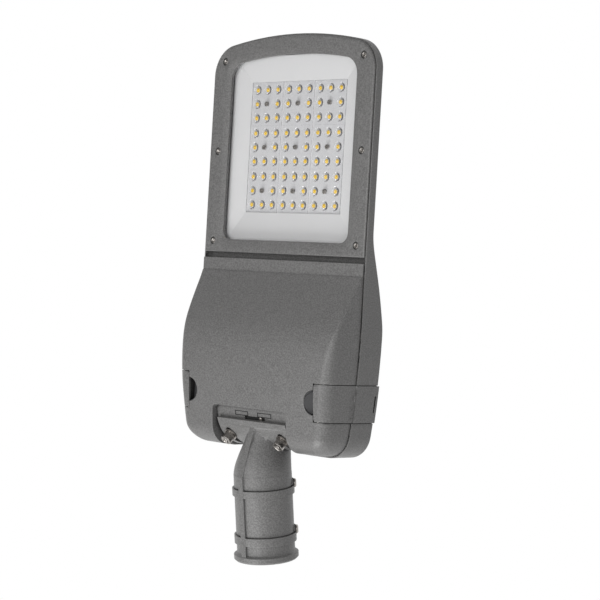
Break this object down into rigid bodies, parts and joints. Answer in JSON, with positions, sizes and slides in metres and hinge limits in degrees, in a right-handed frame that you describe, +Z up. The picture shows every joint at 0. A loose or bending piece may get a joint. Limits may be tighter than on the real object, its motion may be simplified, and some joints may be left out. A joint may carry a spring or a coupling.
{
  "type": "led street light head",
  "caption": "Street light head with a framed LED window, a swing-down gear cover held by two side latches, and a tilting spigot for a 60 mm pole end.",
  "frame": {"origin": "centre of the spigot's mouth, on the axis of the pole bore", "axes": "+Z up with the light facing down, -Y towards the nose, X across; the pole leaves towards +Y and a little up"},
  "size_m": [0.2624, 0.6094, 0.0868],
  "materials": {
    "casting": "fine textured dark grey powder coat",
    "steel": "stainless, machined",
    "seal": "matt black silicone",
    "glass": "clear toughened glass",
    "white": "satin white",
    "board": "white solder mask on aluminium",
    "chip": "yellow phosphor in clear resin",
    "lens": "clear moulded optics",
    "zinc": "zinc plated sheet",
    "driver_case": "off-white moulded case",
    "module": "black moulded",
    "module_light": "light grey moulded"
  },
  "bodies": {
    "spigot": {"spigot": "casting", "pole_clamp_screws": "steel"},
    "head": {"housing": "casting", "lens_frame": "casting", "glass_gasket": "seal", "glass": "glass", "frame_screws": "steel", "screw_seals": "seal", "reflector": "white", "led_board": "board", "led_chips": "chip", "lens_plate_screws": "steel", "tilt_bolts": "steel", "tilt_washers": "steel", "spring_washers": "steel", "entry_grommet": "seal", "cover_gasket": "seal", "gear_tray": "zinc", "tray_screws": "steel", "driver": "driver_case", "surge_protector": "module", "terminal_block": "module_light", "cable_clamp": "module", "lens_plate_1": "lens", "lens_plate_2": "lens", "lens_plate_3": "lens", "lens_plate_4": "lens", "lens_plate_5": "lens", "lens_plate_6": "lens", "lens_plate_7": "lens", "lens_plate_8": "lens", "lens_plate_9": "lens"},
    "cover": {"gear_cover": "casting", "latch_pins": "steel", "cover_hinge_pins": "steel"},
    "latch_right": {"latch_right": "casting"},
    "latch_left": {"latch_left": "casting"}
  },
  "joints": [
    {"name": "tilt", "type": "hinge", "parent": "spigot", "child": "head", "pos_m": [0, -0.17255, 0.00456], "axis": [1, 0, 0], "range_deg": [-5, 15]},
    {"name": "cover_hinge", "type": "hinge", "parent": "head", "child": "cover", "pos_m": [0, -0.33615, 0.00256], "axis": [-1, 0, 0], "range_deg": [0, 50]},
    {"name": "latch_right_hinge", "type": "hinge", "parent": "cover", "child": "latch_right", "pos_m": [0.1054, -0.18735, -0.03784], "axis": [0, 1, 0], "range_deg": [0, 65]},
    {"name": "latch_left_hinge", "type": "hinge", "parent": "cover", "child": "latch_left", "pos_m": [-0.1054, -0.18735, -0.03784], "axis": [0, -1, 0], "range_deg": [0, 65]}
  ],
  "couplings": [
    {"joint": "latch_right_hinge", "follows": "cover_hinge", "ratio": 1.3},
    {"joint": "latch_left_hinge", "follows": "cover_hinge", "ratio": 1.3}
  ]
}
